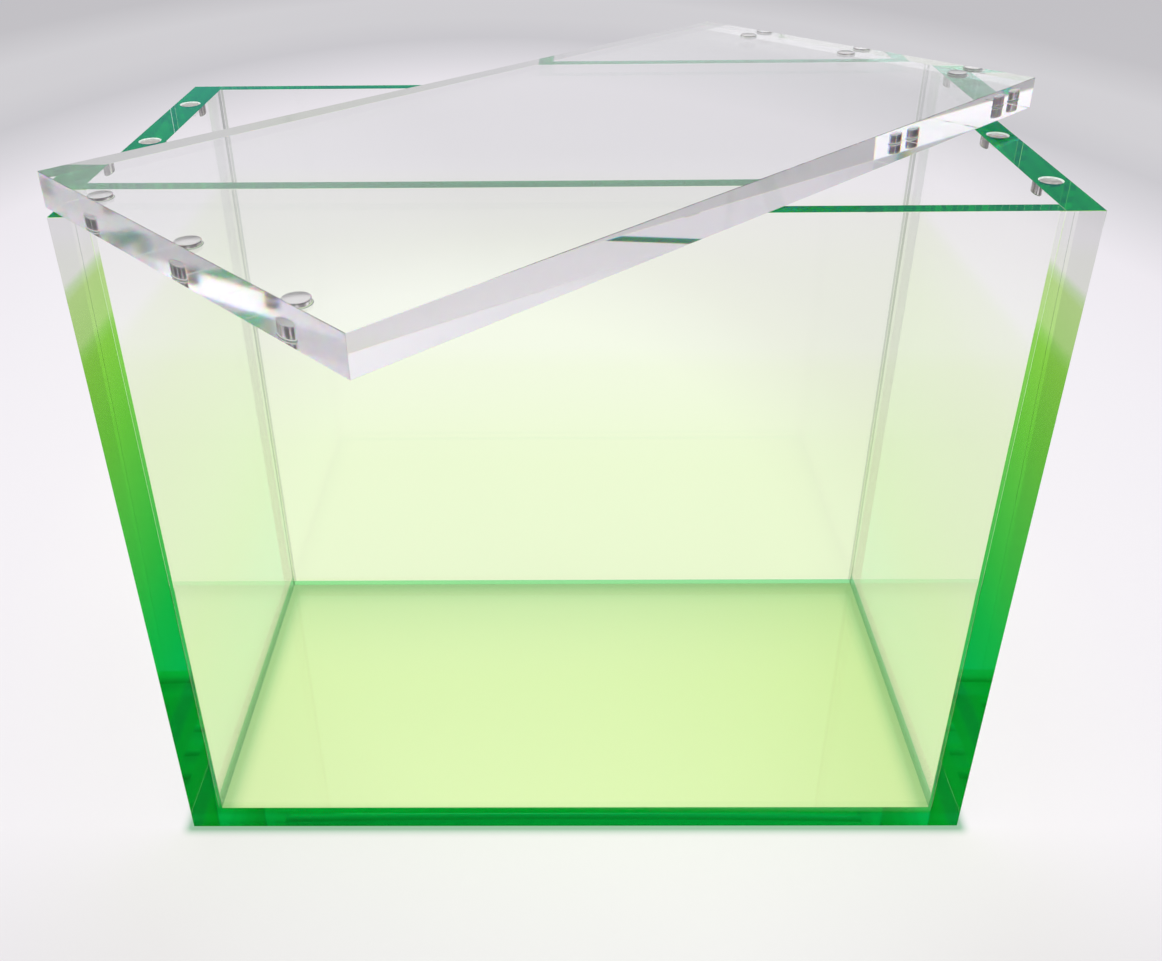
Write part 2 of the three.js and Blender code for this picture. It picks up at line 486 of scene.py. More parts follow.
# %% Cemented joints and pocket glue
CEMENT_SPREAD = 0.02
PLAIN_JOINT = (0.94, 0.945, 0.935)
DYED_JOINT = (0.36, 0.92, 0.57)
FRONT_JOINT = (0.06, 0.89, 0.50)
POCKET_TINT = (0.995, 0.995, 0.99)
CLEAR_JOINT = (0.97, 0.972, 0.967)
BACK_JOINT_SHADE = (0.80, 0.84, 0.79)


def cemented_joint(name, tint, leaving=None):
    """leaving is the tint of light that comes from inside the piece, where that differs."""
    material, tree = new_material(name)
    colour = cast_tint(tree, tint, CEMENT_SPREAD)
    if leaving:
        colour = by_side(tree, colour, cast_tint(tree, leaving, CEMENT_SPREAD))
    show(tree, add_node(tree, "ShaderNodeBsdfTransparent", {"Color": colour}).outputs["BSDF"])
    return material


cement = cemented_joint("cemented_joint", PLAIN_JOINT)
dyed_cement = cemented_joint("dyed_joint", DYED_JOINT)
front_cement = cemented_joint("front_joint", FRONT_JOINT)
corner_cement = cemented_joint("corner_joint", CLEAR_JOINT)
back_end_cement = cemented_joint("back_end_joint", CLEAR_JOINT, BACK_JOINT_SHADE)
pocket_glue = cemented_joint("pocket_glue", POCKET_TINT)
print("joints:", cement.name, dyed_cement.name, front_cement.name, corner_cement.name, back_end_cement.name)

# %% [markdown]
# ## Milled rings
#
# A countersink bit breaks the mouth of each magnet pocket, and leaves a ring of frosted plastic there.
# Frost scatters light, so this is an opaque rough shader. Fine noise gives it the chatter of the bit.

# %% The frosted ring at a pocket's mouth
CHATTER_SCALE = 1500.0
CHATTER_DETAIL = 2.0
FROST_ROUGHNESS = 0.6
FROST_SHADES = [(0.35, (0.50, 0.58, 0.53)), (0.65, (0.68, 0.76, 0.71))]


def milled_finish(name):
    material, tree = new_material(name)
    chatter = cloud(tree, object_place(tree), CHATTER_SCALE, CHATTER_DETAIL)
    frost = colour_ramp(tree, chatter, FROST_SHADES)
    shader = add_node(tree, "ShaderNodeBsdfPrincipled", {"Base Color": frost, "Roughness": FROST_ROUGHNESS})
    show(tree, shader.outputs["BSDF"])
    return material


milled_edge = milled_finish("milled_edge")
print("pocket finishes:", pocket_glue.name, milled_edge.name)

# %% [markdown]
# ## A panel
#
# A panel is a box sawn from sheet. Its free edges carry a small polished arris, which catches a thin
# line of light, and its welded faces stay square. A cube with a Bevel modifier would round every edge,
# so bmesh makes the box, names each face by the way it looks, and bevels only the listed edges.
# Cuts split a face into strips where part of it is welded and needs another finish.

# %% Helper: a panel with eased edges and a finish on each side
ARRIS = 0.08 * MM
ARRIS_PROFILE = 0.5
SIDE_OF = {
    "left": Vector((-1, 0, 0)), "right": Vector((1, 0, 0)),
    "front": Vector((0, -1, 0)), "back": Vector((0, 1, 0)),
    "under": Vector((0, 0, -1)), "top": Vector((0, 0, 1)),
}


def side_name(normal):
    return max(SIDE_OF, key=lambda side: SIDE_OF[side].dot(normal))


def add_object(name, mesh):
    thing = bpy.data.objects.new(name, mesh)
    bpy.context.scene.collection.objects.link(thing)
    return thing


def box_mesh(low, high, cuts):
    """A box from low to high, cut along the planes of (point, normal)."""
    work = bmesh.new()
    bmesh.ops.create_cube(work, size=1)
    bmesh.ops.scale(work, vec=Vector(high) - Vector(low), verts=work.verts)
    bmesh.ops.translate(work, vec=(Vector(high) + Vector(low)) / 2, verts=work.verts)
    for point, way in cuts:
        geometry = work.verts[:] + work.edges[:] + work.faces[:]
        bmesh.ops.bisect_plane(work, geom=geometry, plane_co=point, plane_no=way)
    work.normal_update()
    return work


def panel(name, low, high, finishes, eased, cuts=()):
    """finishes maps a side to a material, eased lists the pairs of sides whose edge is broken."""
    mesh = bpy.data.meshes.new(name)
    materials = list(dict.fromkeys(finishes.values()))
    for material in materials:
        mesh.materials.append(material)
    work = box_mesh(low, high, cuts)
    for face in work.faces:
        face.material_index = materials.index(finishes[side_name(face.normal)])
    wanted = [set(pair) for pair in eased]
    edges = [
        edge for edge in work.edges
        if {side_name(face.normal) for face in edge.link_faces} in wanted
    ]
    bmesh.ops.bevel(work, geom=edges, offset=ARRIS, segments=1, profile=ARRIS_PROFILE, affect="EDGES")
    work.to_mesh(mesh)
    work.free()
    return add_object(name, mesh)


print(f"panel edges are eased by {ARRIS / MM:.2f} mm")

# %% [markdown]
# ## A turned solid
#
# Magnets and the bits that drill for them are round, as if made on a lathe. A cylinder primitive has
# no eased rim and no countersink, and a spun profile leaves a seam of double points to merge.
# So each point of a profile becomes a ring, and faces join the rings. The profile starts and ends on the
# axis, in the middles of the flat ends. It is read from the foot up, so that all faces look outwards.

# %% Helper: turn a profile into a solid
TURN_STEPS = 64


def turned(name, profile):
    """A closed mesh turned about the Z axis from a profile of (radius, height) points, axis to axis."""
    foot, *rings, head = min(profile, profile[::-1], key=lambda points: points[0][1])
    turns = [math.tau * step / TURN_STEPS for step in range(TURN_STEPS)]
    verts = [(0, 0, foot[1]), (0, 0, head[1])]
    columns = []
    for turn in turns:
        columns.append(range(len(verts), len(verts) + len(rings)))
        verts += [(radius * math.cos(turn), radius * math.sin(turn), height) for radius, height in rings]
    faces = []
    for column, following in zip(columns, columns[1:] + columns[:1]):
        faces += [(0, following[0], column[0]), (1, column[-1], following[-1])]
        pairs = list(zip(column, following))
        faces += [(*low, *reversed(high)) for low, high in zip(pairs, pairs[1:])]
    mesh = bpy.data.meshes.new(name)
    mesh.from_pydata(verts, [], faces)
    return mesh


print("turned pieces have", TURN_STEPS, "sides")

# %% [markdown]
# ## Magnet pockets
#
# Each magnet is glued into a blind hole. From outside the hole shows as a thin bright line round the
# metal and a frosted ring at the mouth. A hole could be left out, since the magnet fills it, but then
# the acrylic would run through the metal. A Boolean with one cutter for all holes of a panel drills
# them, and carries the cutter's own finishes over to the new faces.

# %% Helpers: the drill bits and the drilling
POCKET_SPARE = 0.05 * MM
GLUE_DEPTH = 0.1 * MM
COUNTERSINK = 0.2 * MM
BIT_OVERRUN = 1 * MM
SLOPES = (0.3, 0.9)


def pocket_bits(places, radius, floor, mouth):
    """Cutters with a small countersink at the mouth, one at each place."""
    inward = math.copysign(1, floor - mouth)
    wide = radius + COUNTERSINK
    bit = turned("pocket_bit", [
        (0, floor), (radius, floor), (radius, mouth + inward * COUNTERSINK), (wide, mouth),
        (wide, mouth - inward * BIT_OVERRUN), (0, mouth - inward * BIT_OVERRUN),
    ])
    for material in (pocket_glue, milled_edge):
        bit.materials.append(material)
    for face in bit.polygons:
        face.material_index = int(SLOPES[0] < abs(face.normal.z) < SLOPES[1])
    work = bmesh.new()
    for place in places:
        start = len(work.verts)
        work.from_mesh(bit)
        work.verts.ensure_lookup_table()
        bmesh.ops.translate(work, vec=(place.x, place.y, 0), verts=work.verts[start:])
    work.to_mesh(bit)
    work.free()
    return add_object("pocket_bits", bit)


def bake_modifiers(thing):
    """Turns what the modifiers show into the piece's own plain mesh."""
    shown = thing.evaluated_get(bpy.context.evaluated_depsgraph_get())
    mesh = bpy.data.meshes.new_from_object(shown)
    thing.modifiers.clear()
    thing.data = mesh


def drill(thing, bits):
    cut = thing.modifiers.new("pockets", "BOOLEAN")
    cut.operation = "DIFFERENCE"
    cut.solver = "EXACT"
    cut.material_mode = "TRANSFER"
    cut.object = bits
    bake_modifiers(thing)
    bpy.data.objects.remove(bits)


print(f"pockets are {POCKET_SPARE / MM:.2f} mm wider than the magnets all round")

# %% [markdown]
# ## Flat faces and round holes
#
# Smooth shading makes a drilled hole look round, but on a polished face it bends every reflection,
# and the panel looks like a lens. Edges could be marked sharp one by one. Here size tells them apart:
# the strips of a hole are tiny and become smooth, and the polished faces are large and stay flat.

# %% Helpers: smooth the small faces, and change the finish of some faces
SMALL_FACE = 5 * MM * MM


def smooth_small_faces(thing):
    for face in thing.data.polygons:
        face.use_smooth = face.area < SMALL_FACE


def refinish(thing, material, chosen):
    """Gives a material to the faces that chosen says yes to."""
    thing.data.materials.append(material)
    for face in thing.data.polygons:
        if chosen(face):
            face.material_index = len(thing.data.materials) - 1


print(f"faces under {SMALL_FACE / MM / MM:.0f} square mm are shaded smooth")

# %% [markdown]
# ## Base plate
#
# The base carries the walls. Its edges show below them as a deep green line, and through its top you see
# the dyed underside. Its top is cut into strips along the walls, because under a wall it is a cement
# joint that let dye creep in, most of all along the front. Four cuts and three finishes say so,
# and one box stays one closed piece.

# %% Base plate
ENDS = [(side, end) for side in ("left", "right") for end in ("front", "back")]
WALL_LINES = {
    "left": (Vector((-side_wall_inner, 0, 0)), SIDE_OF["right"]),
    "right": (Vector((side_wall_inner, 0, 0)), SIDE_OF["right"]),
    "front": (Vector((0, -face_wall_inner, 0)), SIDE_OF["back"]),
    "back": (Vector((0, face_wall_inner, 0)), SIDE_OF["back"]),
}


def under_front_wall(face):
    on_top = side_name(face.normal) == "top"
    return on_top and face.center.y < -face_wall_inner and abs(face.center.x) < side_wall_inner


def under_other_wall(face):
    beside = abs(face.center.x) > side_wall_inner or face.center.y > face_wall_inner
    return side_name(face.normal) == "top" and beside


base = panel(
    "base_plate_acrylic", base_low, base_high,
    {"under": outer_acrylic, "front": edge_acrylic, "back": edge_acrylic,
     "left": edge_acrylic, "right": edge_acrylic, "top": inner_acrylic},
    ENDS, WALL_LINES.values(),
)
refinish(base, dyed_cement, under_other_wall)
refinish(base, front_cement, under_front_wall)
smooth_small_faces(base)
print("base plate:", len(base.data.polygons), "faces")

# %% [markdown]
# ## Side walls
#
# The two side walls are twice as thick as the others, so that magnets fit into their tops. Their ends show
# at the front as the broad green strips. The front and back walls are cemented to their inner faces,
# so those faces are cut into strips too. Both walls come from one function, because the right wall is
# the left one seen in a mirror, and a Mirror modifier would also turn its finishes round.

# %% Side walls
PLACES = ("front", "middle", "back")


def rim_nodes(side):
    return [f"rim_magnet_{side}_{place}" for place in PLACES]


def side_wall(side, inner_side):
    low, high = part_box(f"{side}_wall")
    wall = panel(
        f"{side}_wall_acrylic", low, high,
        {side: side_acrylic, "front": edge_acrylic, "back": edge_acrylic,
         inner_side: inner_acrylic, "top": rim_acrylic, "under": cement},
        [("top", "front"), ("top", "back"), ("top", side), (side, "front"), (side, "back")],
        (WALL_LINES["front"], WALL_LINES["back"]),
    )

    def welded(face):
        return side_name(face.normal) == inner_side and abs(face.center.y) > face_wall_inner

    refinish(wall, corner_cement, welded)
    magnet_low, magnet_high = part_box(f"rim_magnet_{side}_front")
    radius = (magnet_high.x - magnet_low.x) / 2 + POCKET_SPARE
    places = [middle(node) for node in rim_nodes(side)]
    drill(wall, pocket_bits(places, radius, magnet_low.z - GLUE_DEPTH, high.z))
    smooth_small_faces(wall)
    return wall


left_wall = side_wall("left", "right")
right_wall = side_wall("right", "left")
print("side walls:", len(left_wall.data.polygons), "faces each")

# %% [markdown]
# ## Front and back walls
#
# The front and back walls are thin panes between the side walls. Their ends are cemented, their outer
# faces dyed. The back joints look greyer from inside the pane than from inside the side wall, so
# the back wall gets its own end finish. Again one function makes both.

# %% Front and back walls
def face_wall(side, inner_side, end_cement):
    low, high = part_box(f"{side}_wall")
    wall = panel(
        f"{side}_wall_acrylic", low, high,
        {side: outer_acrylic, inner_side: inner_acrylic, "top": rim_acrylic,
         "under": cement, "left": end_cement, "right": end_cement},
        [("top", "front"), ("top", "back")] + ENDS,
    )
    smooth_small_faces(wall)
    return wall


front_wall = face_wall("front", "back", corner_cement)
back_wall = face_wall("back", "front", back_end_cement)
print("face walls:", len(front_wall.data.polygons), "faces each")

# %% [markdown]
# ## The lid
#
# The lid is one clear slab of the tub's outline, with six pockets in its underside. It could be made
# in its turned place, but then none of its faces would look along an axis. So it is made square
# on the origin, drilled there, and then its vertices are laid in place. The object itself never turns.

# %% Lid panel with its pockets
ALL_SIDES = ("front", "back", "left", "right")


def lid_nodes():
    return [f"lid_magnet_{side}_{place}" for side in ("left", "right") for place in PLACES]


lid = panel(
    "lid_panel_acrylic",
    Vector((-half_width, -half_depth, 0)), Vector((half_width, half_depth, lid_high.z - lid_low.z)),
    {"top": lid_acrylic, "under": lid_acrylic, "front": lid_edge_acrylic, "back": sawn_edge_acrylic,
     "left": lid_edge_acrylic, "right": lid_edge_acrylic},
    [(level, side) for level in ("top", "under") for side in ALL_SIDES] + ENDS,
)
lid_magnet_low, lid_magnet_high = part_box("lid_magnet_left_front")
rim_magnet_low, rim_magnet_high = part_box("rim_magnet_left_front")
magnet_radius = (rim_magnet_high.x - rim_magnet_low.x) / 2
magnet_height = lid_magnet_high.z - lid_magnet_low.z
to_lid = lid_place.inverted()
lid_places = [to_lid @ middle(node) for node in lid_nodes()]
pocket_floor = lid_magnet_high.z - lid_low.z + GLUE_DEPTH
drill(lid, pocket_bits(lid_places, magnet_radius + POCKET_SPARE, pocket_floor, 0))
lid.data.transform(lid_place)
smooth_small_faces(lid)
print("lid:", len(lid.data.polygons), "faces")

# %% [markdown]
# ## Nickel plating
#
# The magnets are plated with nickel. Their ends are satin and grained, and their sides are bright. The dark
# and
# pale streaks down the sides stand for the pocket that the plating mirrors, and are painted into the colour:
# a painted reflection. The ends in the lid lie under a pale film of glue, so they look nearly white from
# above.
# Two materials on separate faces would leave a hard line on the round edge, so one tree reads which way the
# surface looks and blends from side to end.

# %% Nickel plating
SATIN_ENDS = 0.18
BRIGHT_SIDES = 0.10
GRAIN_SCALE = 900.0
GRAIN_DETAIL = 4.0
GRAIN_STRENGTH = 0.15
GRAIN_HEIGHT = 0.05 * MM
# The streaks are a painted reflection of the pocket, painted into the colour of the magnet sides.
STREAK_SCALE = 850.0
STREAK_DETAIL = 2.0
STREAK_SQUASH = (1, 1, 0.04)
PAINTED_STREAK_TONES = [(0.38, (0.08, 0.065, 0.06)), (0.52, (0.36, 0.33, 0.32)), (0.66, (0.88, 0.86, 0.85))]
WORN_NICKEL = [(0.3, (0.42, 0.41, 0.37)), (0.7, (0.60, 0.59, 0.545))]
GLUED_NICKEL = [(0.3, (0.95, 0.93, 0.93)), (0.7, (0.99, 0.975, 0.975))]
WORN_EDGE = (0.2, 0.6)
GLUED_EDGE = (0.05, 0.25)
GLUE_FILM = 0.4


def facing_up(tree, edge):
    """1 on the flat ends of a magnet and 0 on its side, with the change on its round edge."""
    way = add_node(tree, "ShaderNodeTexCoord").outputs["Normal"]
    upright = add_node(tree, "ShaderNodeSeparateXYZ", {"Vector": way}).outputs["Z"]
    return ranged(tree, reckon(tree, "ABSOLUTE", upright), *edge)


def painted_side_streaks(tree):
    """Painted reflection: dark and bright streaks painted into the colour of the side, where the plating
    would mirror the pocket.
    """
    tall = add_node(tree, "ShaderNodeMapping", {"Vector": object_place(tree), "Scale": STREAK_SQUASH})
    streak = cloud(tree, tall.outputs["Vector"], STREAK_SCALE, STREAK_DETAIL)
    return colour_ramp(tree, streak, PAINTED_STREAK_TONES)


def nickel_plate(name, plating, edge, glue_film):
    material, tree = new_material(name)
    ends = facing_up(tree, edge)
    grain = cloud(tree, object_place(tree), GRAIN_SCALE, GRAIN_DETAIL)
    bump = add_node(tree, "ShaderNodeBump", {
        "Strength": GRAIN_STRENGTH, "Distance": GRAIN_HEIGHT, "Height": grain})
    # The sides take the painted reflection streaks as their colour, and the ends take the grained plating.
    shader = add_node(tree, "ShaderNodeBsdfPrincipled", {
        "Base Color": mixed(tree, ends, painted_side_streaks(tree), colour_ramp(tree, grain, plating)),
        "Normal": bump.outputs["Normal"],
        "Metallic": ranged(tree, ends, to_low=1, to_high=1 - glue_film) if glue_film else 1,
        "Roughness": ranged(tree, ends, to_low=BRIGHT_SIDES, to_high=SATIN_ENDS)})
    show(tree, shader.outputs["BSDF"])
    return material


worn_nickel = nickel_plate("worn_nickel", WORN_NICKEL, WORN_EDGE, 0)
glued_nickel = nickel_plate("sealed_nickel", GLUED_NICKEL, GLUED_EDGE, GLUE_FILM)
print("platings:", worn_nickel.name, glued_nickel.name)

# %% [markdown]
# ## One magnet
#
# A magnet is a small disc whose rim is rounded by tumbling before it is plated. The same turning helper
# makes it, from a profile with a quarter circle at each corner. It is shaded smooth all over, since the
# round rim carries the shading from the side to the flat end.

# %% One magnet, turned from its profile
MAGNET_EDGE = 0.25 * MM
EDGE_STEPS = 4


def magnet_profile(radius, height):
    inset = radius - MAGNET_EDGE
    profile = [(0, 0)]
    for centre, start in ((MAGNET_EDGE, -90), (height - MAGNET_EDGE, 0)):
        for step in range(EDGE_STEPS + 1):
            angle = math.radians(start + 90 * step / EDGE_STEPS)
            profile.append((
                inset + MAGNET_EDGE * math.cos(angle), centre + MAGNET_EDGE * math.sin(angle)))
    return profile + [(0, height)]


magnet = add_object("turned_magnet", turned("turned_magnet", magnet_profile(magnet_radius, magnet_height)))
magnet.data.shade_smooth()
print(f"magnet {2 * magnet_radius / MM:.2f} x {magnet_height / MM:.2f} mm")

# %% [markdown]
# ## A node tree that sets magnets out
#
# The rim and the lid hold the same pattern: a row of three magnets at each end. Twelve copies could be
# placed by hand, but a rule with names for its sizes is easier to change. Geometry Nodes draws a line
# of points for each row, puts a magnet on each point, makes them real and gives them their plating.

# %% The tree: two rows of magnets
ROW_INPUTS = {
    "Row Distance": "NodeSocketFloat", "Pitch": "NodeSocketFloat", "Count": "NodeSocketInt",
    "Magnet": "NodeSocketObject", "Plating": "NodeSocketMaterial",
}
MIDDLE_TO_FIRST = -0.5


def magnet_rows_tree():
    tree = bpy.data.node_groups.new("magnet_rows", "GeometryNodeTree")
    for name, kind in ROW_INPUTS.items():
        tree.interface.new_socket(name, in_out="INPUT", socket_type=kind)
    tree.interface.new_socket("Geometry", in_out="OUTPUT", socket_type="NodeSocketGeometry")
    given = add_node(tree, "NodeGroupInput").outputs
    row_length = reckon(tree, "MULTIPLY", given["Pitch"], reckon(tree, "SUBTRACT", given["Count"], 1))
    first = reckon(tree, "MULTIPLY", row_length, MIDDLE_TO_FIRST)
    step = add_node(tree, "ShaderNodeCombineXYZ", {"Y": given["Pitch"]}).outputs["Vector"]
    join = add_node(tree, "GeometryNodeJoinGeometry")
    for sign in (-1, 1):
        side = reckon(tree, "MULTIPLY", given["Row Distance"], sign)
        start = add_node(tree, "ShaderNodeCombineXYZ", {"X": side, "Y": first}).outputs["Vector"]
        row = add_node(tree, "GeometryNodeMeshLine", {
            "Count": given["Count"], "Start Location": start, "Offset": step}, mode="OFFSET")
        tree.links.new(row.outputs["Mesh"], join.inputs["Geometry"])
    shape = add_node(tree, "GeometryNodeObjectInfo", {"Object": given["Magnet"]}).outputs["Geometry"]
    set_out = add_node(tree, "GeometryNodeInstanceOnPoints", {
        "Points": join.outputs["Geometry"], "Instance": shape})
    real = add_node(tree, "GeometryNodeRealizeInstances", {"Geometry": set_out.outputs["Instances"]})
    plated = add_node(tree, "GeometryNodeSetMaterial", {
        "Geometry": real.outputs["Geometry"], "Material": given["Plating"]})
    add_node(tree, "NodeGroupOutput", {"Geometry": plated.outputs["Geometry"]})
    return tree


rows_tree = magnet_rows_tree()
print("magnet tree:", len(rows_tree.nodes), "nodes")

# %% [markdown]
# ## Rim magnets and lid magnets
#
# The tree runs twice: once for the rim, where bare plating shows, and once for the lid, where glue
# seals it in. The two sets belong to different bodies, so they are separate meshes. Each input is set
# by its identifier, because a modifier doesn't know it by its name. The result becomes a plain mesh.

# %% Set out the rim magnets and the lid magnets
ROW_SIZES = {
    "Row Distance": middle("rim_magnet_right_middle").x,
    "Pitch": middle("rim_magnet_right_back").y - middle("rim_magnet_right_middle").y,
    "Count": len(PLACES), "Magnet": magnet,
}


def magnet_set(name, place, plating):
    piece = add_object(name, bpy.data.meshes.new(name))
    rows = piece.modifiers.new("magnet_rows", "NODES")
    rows.node_group = rows_tree
    values = {**ROW_SIZES, "Plating": plating}
    for socket in rows_tree.interface.items_tree:
        if socket.name in values:
            rows[socket.identifier] = values[socket.name]
    bake_modifiers(piece)
    piece.data.transform(place)
    return piece


rim_magnets = magnet_set("rim_magnets", Matrix.Translation((0, 0, rim_magnet_low.z)), worn_nickel)
in_pocket = Matrix.Translation((0, 0, lid_magnet_low.z - lid_low.z))
lid_magnets = magnet_set("lid_magnets", lid_place @ in_pocket, glued_nickel)
bpy.data.objects.remove(magnet)
print("magnets:", len(rim_magnets.data.polygons), "faces on the rim, as many in the lid")

# %% [markdown]
# ## Who rides on what
#
# On the real case the lid lifts off with its magnets, and everything else stays together. So each dressed
# piece is parented to an empty named for the body it rides on, and the measured part it stands for is
# hidden.

# %% Tie the pieces to the measured parts
TUB_PIECES = {
    "base_plate": base, "left_wall": left_wall, "right_wall": right_wall,
    "front_wall": front_wall, "back_wall": back_wall,
}
for node, piece in TUB_PIECES.items():
    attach(piece, "tub")
    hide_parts(node)
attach(lid, "lid")
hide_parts("lid_panel")
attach(rim_magnets, "tub")
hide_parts(*rim_nodes("left"), *rim_nodes("right"))
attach(lid_magnets, "lid")
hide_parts(*lid_nodes())
print("pieces on the tub:", len(TUB_PIECES) + 1, "and on the lid: 2")

# %% [markdown]
# ## The pool of light on the table
#
# The case stands on a pale table under a soft lamp, in an oval pool of light that fades into grey.
# A spot lamp could make such a pool, but it would light the case as well. So the table's own
# colour fades along an oval, which a Mapping node squeezes into a circle for easy measuring.

# %% Helpers: the oval pool
POOL_CENTRE = (-0.012, 0.11, 0)
POOL_TURN = math.radians(7)
POOL_SIZE = (0.78, 1.39, 1)
POOL_SHADES = [
    (0.12, (1.0, 1.0, 0.98)),
    (0.16, (0.955, 0.945, 0.945)),
    (0.20, (0.905, 0.885, 0.895)),
    (0.25, (0.87, 0.845, 0.875)),
    (0.36, (0.845, 0.82, 0.86)),
    (0.48, (0.815, 0.785, 0.83)),
    (0.576, (0.665, 0.65, 0.685)),
    (0.64, (0.58, 0.57, 0.60)),
    (0.72, (0.62, 0.61, 0.635)),
    (0.82, (0.63, 0.62, 0.645)),
    (0.96, (0.54, 0.53, 0.555)),
]


def distance_from_pool(tree):
    """0 in the middle of the oval pool of light on the table, 1 where it has faded out."""
    oval = add_node(tree, "ShaderNodeMapping", {
        "Vector": object_place(tree), "Location": POOL_CENTRE, "Rotation": (0, 0, POOL_TURN),
        "Scale": POOL_SIZE,
    }, vector_type="TEXTURE")
    reach = add_node(tree, "ShaderNodeVectorMath", {0: oval.outputs["Vector"]}, operation="LENGTH")
    return reach.outputs["Value"]


print(f"pool of light turned {math.degrees(POOL_TURN):.0f} degrees")

# %% [markdown]
# ## Light under the tub
#
# Light that falls through the dyed tub lands on the table as a pale green patch, dim along the foot of
# the side walls and the back wall. A path tracer finds such light only with very many samples,
# so it is worked out here as a rule of the distance to each wall. The next step stores it on the table.

# %% Helpers: fading, and the light below the base
CLEAR = Vector((1, 1, 1))
TUB_LIGHT = Vector((0.955, 0.995, 0.89))
SIDE_LIGHT = Vector((0.89, 0.94, 0.77))
FOOT_SHADE = Vector((0.38, 0.62, 0.45))
BRIGHTEST_UNDER = -30 * MM
SIDE_LIGHT_REACH = 120 * MM
WALL_SHADE = 0.85
WALL_SHADE_FROM_INNER = 1 * MM
WALL_SHADE_CORE = 1.5 * MM
WALL_SHADE_FADE = 6 * MM
BACK_SHADE_START = -2 * MM
BACK_SHADES = [(0.55, 12 * MM), (0.45, 50 * MM)]


def fade(gap, start, length):
    """1 up to start, then falling softly to 0 over length."""
    left = 1 - min(max((gap - start) / length, 0), 1)
    return left * left


def blend(colour, weight):
    return CLEAR.lerp(colour, weight)


def times(*colours):
    return Vector([math.prod(channel) for channel in zip(*colours)])


def light_under_tub(x, y):
    """The light below the base: tinted by the dye, and dim beside the side walls and the back wall."""
    from_wall = abs(side_wall_inner + WALL_SHADE_FROM_INNER - abs(x))
    beside = WALL_SHADE * fade(from_wall, WALL_SHADE_CORE, WALL_SHADE_FADE)
    from_back = face_wall_inner - y
    behind = sum(share * fade(from_back, BACK_SHADE_START, length) for share, length in BACK_SHADES)
    across = ((x - BRIGHTEST_UNDER) / SIDE_LIGHT_REACH) ** 2
    walls = blend(FOOT_SHADE, 1 - (1 - beside) * (1 - behind))
    return times(TUB_LIGHT, blend(SIDE_LIGHT, min(across, 1)), walls)


print("light under the tub:", [round(value, 2) for value in light_under_tub(0, 0)])

# %% [markdown]
# ## Light round the foot
#
# Round the tub the table shows a narrow green shade where the foot nearly touches it, a faint green glow
# in front, and less light further forward, most of all towards the front corners. A shadow from the lamp
# would move with each change of the lamp. So a rule follows the distance to the tub again, and widens
# with it, as the edge of a soft shadow does. Well ahead of the tub it evens out.

# %% Helpers: the light round the foot
FRONT_LIGHT = Vector((0.955, 0.975, 0.925))
FRONT_GLOW_REACH = 120 * MM
FRONT_DIM = Vector((0.905, 0.90, 0.905))
FRONT_CORNER = Vector((0.90, 0.90, 0.905))
FRONT_RAMP = 60 * MM
FRONT_WIDENING = 0.6
BRIGHTEST_IN_FRONT = -20 * MM
BRIGHT_HALF = 60 * MM
CORNER_RAMP = 110 * MM
EVEN_AHEAD = 120 * MM
EVEN_RAMP = 500 * MM
FOOT_CORE = 1 * MM
FOOT_FADE = 3.2 * MM


def light_round_tub(x, y, gap):
    before = max(-half_depth - y, 0)
    ahead = min(before / (FRONT_RAMP + FRONT_WIDENING * max(abs(x) - half_width, 0)), 1)
    off_centre = min(max((abs(x - BRIGHTEST_IN_FRONT) - BRIGHT_HALF) / CORNER_RAMP, 0), 1)
    evened = min(max((before - EVEN_AHEAD) / EVEN_RAMP, 0), 1)
    corner = 1 - (1 - off_centre) * (1 - evened)
    dim = times(blend(FRONT_DIM, ahead), blend(FRONT_CORNER, ahead * corner))
    glow = blend(FRONT_LIGHT, before / gap * fade(gap, 0, FRONT_GLOW_REACH))
    return times(glow, dim, blend(FOOT_SHADE, fade(gap, FOOT_CORE, FOOT_FADE)))


def foot_light(x, y):
    gap = Vector((max(abs(x) - half_width, 0), max(abs(y) - half_depth, 0))).length
    return light_round_tub(x, y, gap) if gap > 0 else light_under_tub(x, y)


print("light just before the front:", [round(value, 2) for value in foot_light(0, -half_depth - FOOT_CORE)])

# %% [markdown]
# ## Table paper
#
# The table top is plain pale paper. Lit only by the lamp and the sky it would come out uneven, and dark
# under the tub, whose shadow hides it. So most of what the camera sees of it, straight, in a
# mirror or through acrylic, glows at its own shade, and the rest takes light and shadow as paper does.

# %% The paper and how it glows
TABLE_GLOW = 0.82
THROUGH_GLOW = 0.96
GLOW_BY_RAY = {"Camera": TABLE_GLOW, "Glossy": TABLE_GLOW, "Transmission": THROUGH_GLOW}


def seen_ray(tree):
    """How much of the table glows for a ray: more through acrylic, where its own shadow would hide it."""
    ray = add_node(tree, "ShaderNodeLightPath").outputs
    most = 0
    for kind, glow in GLOW_BY_RAY.items():
        most = reckon(tree, "MAXIMUM", most, reckon(tree, "MULTIPLY", ray[f"Is {kind} Ray"], glow))
    return most


def table_paper():
    material, tree = new_material("table_paper")
    foot = add_node(tree, "ShaderNodeAttribute", attribute_name="foot_light").outputs["Color"]
    pool = colour_ramp(tree, distance_from_pool(tree), POOL_SHADES)
    shade = mixed(tree, 1, pool, foot, "MULTIPLY")
    lit = add_node(tree, "ShaderNodeBsdfDiffuse", {"Color": shade}).outputs["BSDF"]
    glow = add_node(tree, "ShaderNodeEmission", {"Color": shade}).outputs["Emission"]
    show(tree, add_node(tree, "ShaderNodeMixShader", {0: seen_ray(tree), 1: lit, 2: glow}).outputs["Shader"])
    return material


paper = table_paper()
print("table finish:", paper.name)
